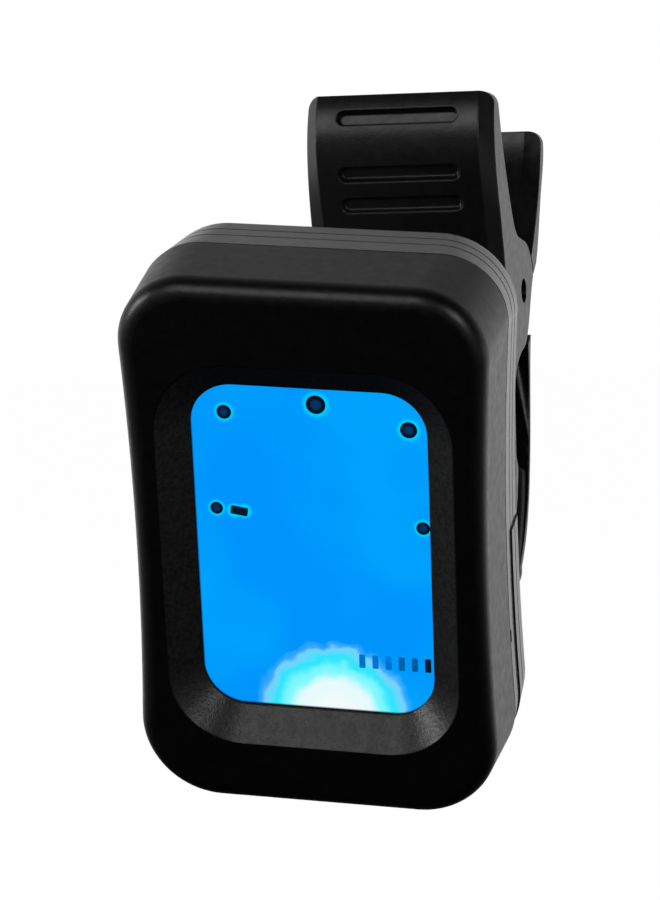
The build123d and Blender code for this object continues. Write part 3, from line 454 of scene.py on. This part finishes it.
segment_front, segment_back = 4.265, 4.288      # just before the display glass, which starts at 4.3


def plate(outline):
    """Points and faces of a thin plate on the display glass, from an outline in millimetres."""
    count = len(outline)
    points = [head_point(x, depth, z) for depth in (segment_front, segment_back) for x, z in outline]
    faces = [list(range(count))[::-1], list(range(count, 2 * count))]
    faces += [[i, (i + 1) % count, count + (i + 1) % count, count + i] for i in range(count)]
    return points, faces


def round_outline(centre, half_width, half_height, corner, lean=0.0, steps=10):
    """A rounded rectangle's outline, counter-clockwise; corner equal to both halves makes a circle."""
    outline = []
    turn_x, turn_z = cos(lean), sin(lean)
    for start, sx, sz in ((0, 1, 1), (90, -1, 1), (180, -1, -1), (270, 1, -1)):
        for step in range(steps):
            angle = radians(start + 90 * step / steps)
            x = sx * (half_width - corner) + corner * cos(angle)
            z = sz * (half_height - corner) + corner * sin(angle)
            outline.append((centre[0] + x * turn_x - z * turn_z, centre[1] + x * turn_z + z * turn_x))
    return outline


def make_segments(name, outlines, material):
    """One piece made of several thin plates."""
    points, faces = [], []
    for outline in outlines:
        more_points, more_faces = plate(outline)
        faces += [[i + len(points) for i in face] for face in more_faces]
        points += more_points
    make_piece(name, points, faces, material, "head", smooth=False)


bar_half_width, bar_half_height, bar_corner = 0.34, 0.8, 0.12
dark_segment = segment_material("dark_segment", (0.0, 0.012, 0.035))
faint_segment = segment_material("faint_segment", (0.0, 0.22, 0.78))
dim_segment = segment_material("dim_segment", (0.0, 0.13, 0.42))
dot_segment = segment_material("dot_segment", (0.0, 0.006, 0.018), heart=(0.0, 0.035, 0.12, 1.0))
make_segments("lcd_dots", [round_outline((x, z), r, r, r) for x, z, r in dots], dot_segment)
dash = round_outline(dash_place, dash_size[0] / 2, dash_size[1] / 2, dash_corner, lean=dash_lean)
make_segments("lcd_dash", [dash], dark_segment)
bars = [round_outline((bar_start + bar_step * i, bar_row), bar_half_width, bar_half_height, bar_corner)
        for i in range(6)]
make_segments("lcd_bars_faint", bars[:3], faint_segment)
make_segments("lcd_bars_dim", bars[3:5], dim_segment)
make_segments("lcd_bar_dark", bars[5:], dark_segment)

# ---- Floor, light and camera -----------------------------------------------------------------------

floor_drop = 0.045                              # below the object, which hangs free as if clamped
floor_half = 6.0
floor_level = cad_low.z - floor_drop
floor_mesh = bpy.data.meshes.new("floor")
floor_mesh.from_pydata([(x * floor_half, y * floor_half, floor_level) for x, y in
                        ((-1, -1), (1, -1), (1, 1), (-1, 1))], [], [(0, 1, 2, 3)])
floor = bpy.data.objects.new("floor", floor_mesh)
bpy.context.scene.collection.objects.link(floor)
floor_material, tree, output = new_material("pale_floor")
is_camera = add_node(tree, "ShaderNodeLightPath").outputs["Is Camera Ray"]
speck = ramp(tree, noise(tree, 40.0, 3.0), [(0.3, grey(0.10)), (0.7, grey(0.12))])
matte = add_node(tree, "ShaderNodeBsdfDiffuse", Color=speck)
lift = add_node(tree, "ShaderNodeEmission", Color=WHITE, Strength=0.97)
pale = add_node(tree, "ShaderNodeAddShader", i0=matte.outputs[0], i1=lift.outputs[0])
# To everything but the eye, the floor is dark in front of the object and bright behind and beside it
spot = add_node(tree, "ShaderNodeSeparateXYZ", i0=add_node(tree, "ShaderNodeNewGeometry").outputs["Position"])
back_lift = smooth_range(tree, spot.outputs["Y"], (-0.02, 0.30), (0.006, 0.66))
side_lift = smooth_range(tree, math_node(tree, "ABSOLUTE", spot.outputs["X"]), (0.06, 0.30), (0.0, 0.2))
dim = add_node(tree, "ShaderNodeEmission", Color=WHITE, Strength=math_node(tree, "ADD", back_lift, side_lift))
floor_shader = add_node(tree, "ShaderNodeMixShader", i0=is_camera, i1=dim.outputs[0], i2=pale.outputs[0])
# From below, the floor lets the eye through
facing_down = add_node(tree, "ShaderNodeNewGeometry").outputs["Backfacing"]
open_floor = add_node(tree, "ShaderNodeMixShader", i0=facing_down, i1=floor_shader.outputs[0],
                      i2=add_node(tree, "ShaderNodeBsdfTransparent").outputs[0])
tree.links.new(open_floor.outputs[0], output.inputs[0])
floor_mesh.materials.append(floor_material)

# Camera: turned to the object's right and tipped very slightly down
camera_yaw, camera_pitch, camera_roll = radians(14.87), radians(2.07), radians(1.2)
camera_offset = Vector((-2.48, 12.02, 389.63)) * MM     # the display centre in the camera's own axes
camera_lens = 147.73


def camera_axes(yaw, pitch, roll):
    """The camera's right, down and forward directions."""
    right = Vector((cos(yaw), sin(yaw), 0))
    forward = Vector((-sin(yaw) * cos(pitch), cos(yaw) * cos(pitch), -sin(pitch)))
    down = Vector((sin(yaw) * sin(pitch), -cos(yaw) * sin(pitch), -cos(pitch)))
    return (right * cos(roll) + down * sin(roll), down * cos(roll) - right * sin(roll), forward)


view_right, view_down, view_forward = camera_axes(camera_yaw, camera_pitch, camera_roll)
camera_place = display_centre - view_right * camera_offset.x - view_down * camera_offset.y \
    - view_forward * camera_offset.z
camera = bpy.data.objects.new("camera", bpy.data.cameras.new("camera"))
bpy.context.scene.collection.objects.link(camera)
camera.data.lens = camera_lens
camera.data.clip_start, camera.data.clip_end = 0.01, 50
camera.matrix_world = Matrix([(view_right[i], -view_down[i], -view_forward[i], camera_place[i])
                              for i in range(3)] + [(0, 0, 0, 1)])
bpy.context.scene.camera = camera

# World: white to the eye; as light it is bright behind, beside and above the object and dim in front
world = bpy.data.worlds.new("studio")
world.use_nodes = True
tree = world.node_tree
tree.nodes.clear()
direction = add_node(tree, "ShaderNodeTexCoord").outputs["Generated"]


def facing(way):
    """How far a direction of the world points one way, from -1 to 1."""
    return add_node(tree, "ShaderNodeVectorMath", {"operation": "DOT_PRODUCT"}, i0=direction,
                    i1=tuple(way)).outputs["Value"]


behind = smooth_range(tree, facing(view_forward), (-0.35, 0.75), (0.004, 0.72))
above = smooth_range(tree, facing((0, 0, 1)), (0.15, 0.75), (1.0, 0.42))
strength = math_node(tree, "MULTIPLY", behind, above)
light = add_node(tree, "ShaderNodeBackground", Color=WHITE, Strength=strength)
plain = add_node(tree, "ShaderNodeBackground", Color=WHITE, Strength=1.0)
is_camera = add_node(tree, "ShaderNodeLightPath").outputs["Is Camera Ray"]
world_shader = add_node(tree, "ShaderNodeMixShader", i0=is_camera, i1=light.outputs[0], i2=plain.outputs[0])
tree.links.new(world_shader.outputs[0], add_node(tree, "ShaderNodeOutputWorld").inputs[0])
bpy.context.scene.world = world


def soft_light(name, place, size, power):
    """A square area light aimed at the object."""
    lamp = bpy.data.lights.new(name, "AREA")
    lamp.size = size
    lamp.energy = power
    lamp.shape = "SQUARE"
    holder = bpy.data.objects.new(name, lamp)
    bpy.context.scene.collection.objects.link(holder)
    holder.location = place
    holder.rotation_mode = "QUATERNION"
    holder.rotation_quaternion = (Vector(place) - display_centre).to_track_quat("Z", "Y")


soft_light("upper_front", display_centre + Vector((-0.15, -0.56, 0.34)), 0.34, 0.75)
soft_light("right_front", display_centre + Vector((0.50, -0.50, 0.22)), 0.22, 0.8)
soft_light("left_side", display_centre + Vector((-0.60, -0.24, 0.18)), 0.22, 1.2)

view_settings = bpy.context.scene.view_settings
view_settings.view_transform = "Standard"
view_settings.look = "None"

bpy.context.view_layer.update()
